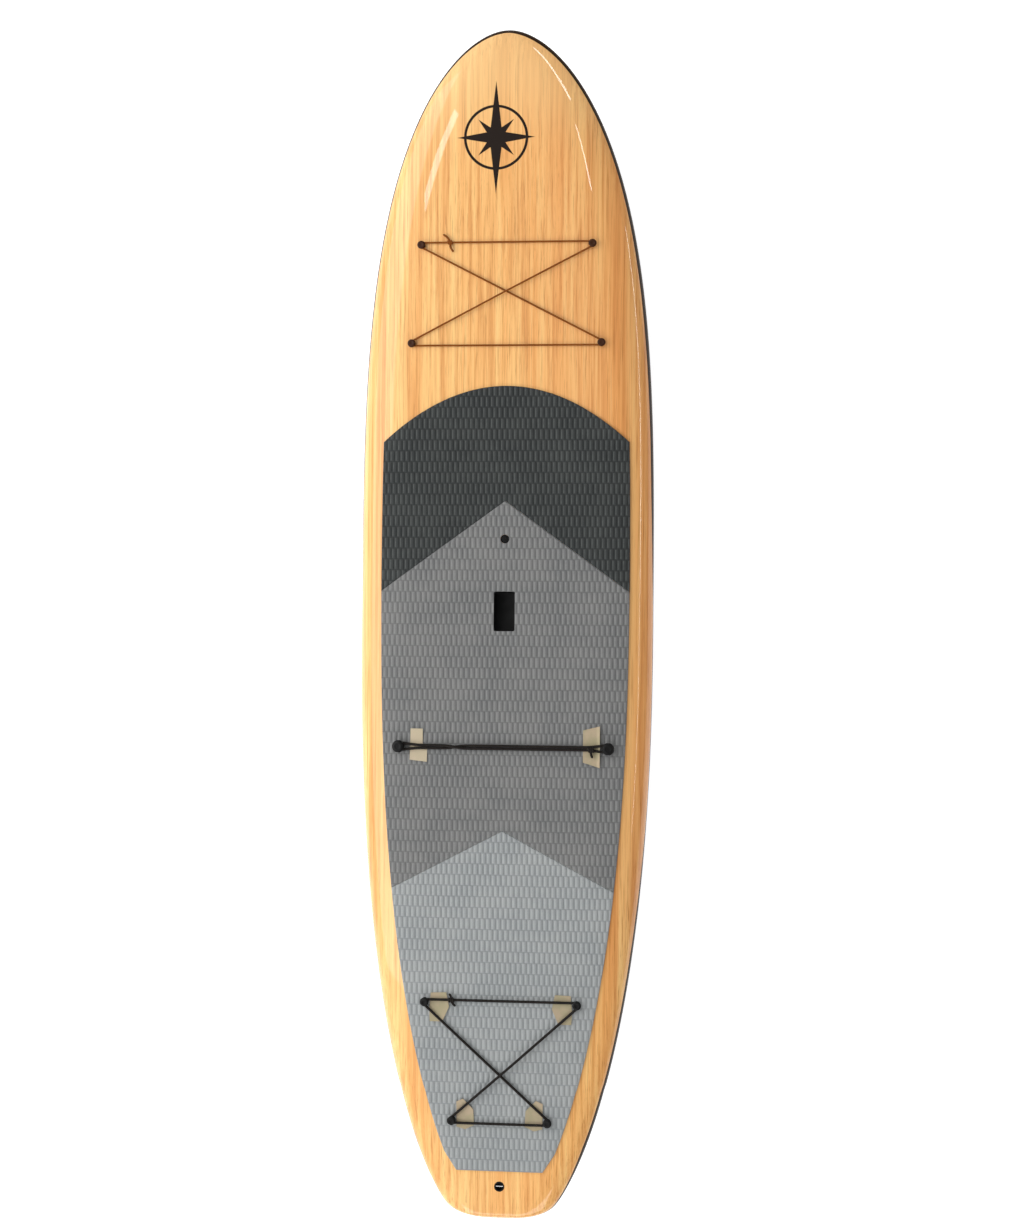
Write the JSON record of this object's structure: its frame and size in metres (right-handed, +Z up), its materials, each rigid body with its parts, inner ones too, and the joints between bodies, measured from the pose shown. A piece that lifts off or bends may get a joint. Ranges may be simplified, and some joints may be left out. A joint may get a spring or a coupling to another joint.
{
  "type": "stand up paddleboard",
  "caption": "Rigid all-round paddleboard: veneered deck, three-tone traction pad, carry handle, bungee lacing, vent, leash plug and a sliding centre fin.",
  "frame": {"origin": "on the flat of the hull bottom, on the centre line, under the middle of the board", "axes": "+Y along the board to the nose, +Z up out of the deck, +X to the rider's right"},
  "size_m": [0.796, 3.1978, 0.3211],
  "materials": {
    "veneer": "glossy clear-coated straight-grained veneer",
    "bottom": "glossy dark paint",
    "foam": "white expanded foam",
    "plywood": "raw plywood",
    "pad_dark": "embossed dark grey foam",
    "pad_mid": "embossed mid grey foam",
    "pad_light": "embossed light grey foam",
    "black_plastic": "satin black moulded",
    "shock_cord": "braided elastic cord",
    "steel": "stainless, brushed",
    "seal": "soft black rubber",
    "card": "matt buff card",
    "fin": "satin black moulded"
  },
  "bodies": {
    "board": {"bottom_shell": "bottom", "card_rear_aft_left": "card", "card_rear_aft_right": "card", "card_rear_fore_left": "card", "card_rear_fore_right": "card", "card_strap_left": "card", "card_strap_right": "card", "cross_strap": "shock_cord", "deck_pad_front": "pad_dark", "deck_pad_middle": "pad_mid", "deck_pad_rear": "pad_light", "deck_shell": "veneer", "fin_box": "black_plastic", "foam_core_left": "foam", "foam_core_right": "foam", "front_anchor_aft_left": "black_plastic", "front_anchor_aft_right": "black_plastic", "front_anchor_fore_left": "black_plastic", "front_anchor_fore_right": "black_plastic", "front_bungee": "shock_cord", "front_insert_aft_left": "black_plastic", "front_insert_aft_right": "black_plastic", "front_insert_fore_left": "black_plastic", "front_insert_fore_right": "black_plastic", "handle_cup": "black_plastic", "leash_cup": "black_plastic", "leash_pin": "steel", "rear_anchor_aft_left": "black_plastic", "rear_anchor_aft_right": "black_plastic", "rear_anchor_fore_left": "black_plastic", "rear_anchor_fore_right": "black_plastic", "rear_bungee": "shock_cord", "rear_insert_aft_left": "black_plastic", "rear_insert_aft_right": "black_plastic", "rear_insert_fore_left": "black_plastic", "rear_insert_fore_right": "black_plastic", "strap_insert_left": "black_plastic", "strap_insert_right": "black_plastic", "strap_knob_left": "black_plastic", "strap_knob_right": "black_plastic", "stringer": "plywood", "vent_body": "black_plastic"},
    "fin": {"centre_fin": "fin", "fin_pin": "steel"},
    "fin_screw": {"fin_screw": "steel"},
    "fin_plate": {"fin_plate": "steel"},
    "vent_gasket": {"vent_seal": "seal"},
    "vent_screw": {"vent_screw": "black_plastic"}
  },
  "joints": [
    {"name": "vent_lift", "type": "slide", "parent": "board", "child": "vent_gasket", "axis": [0, -0.0027, 1], "range_m": [0, 0.0025]},
    {"name": "vent_turn", "type": "hinge", "parent": "vent_gasket", "child": "vent_screw", "pos_m": [0, 0.2295, 0.1151], "axis": [0, -0.0027, 1], "range_deg": [0, 720]},
    {"name": "fin_slide", "type": "slide", "parent": "board", "child": "fin", "axis": [0, 0.9979, -0.0654], "range_m": [-0.045, 0.029]},
    {"name": "fin_screw_turn", "type": "hinge", "parent": "fin", "child": "fin_screw", "pos_m": [0, -1.18398, 0.02401], "axis": [0, -0.0654, -0.9979], "range_deg": [0, 720]},
    {"name": "plate_travel", "type": "slide", "parent": "fin", "child": "fin_plate", "axis": [0, 0.0654, 0.9979], "range_m": [0, 0.0014]}
  ],
  "couplings": [
    {"joint": "vent_turn", "follows": "vent_lift", "rad_per_m": 5026},
    {"joint": "fin_screw_turn", "follows": "plate_travel", "rad_per_m": 8975}
  ]
}
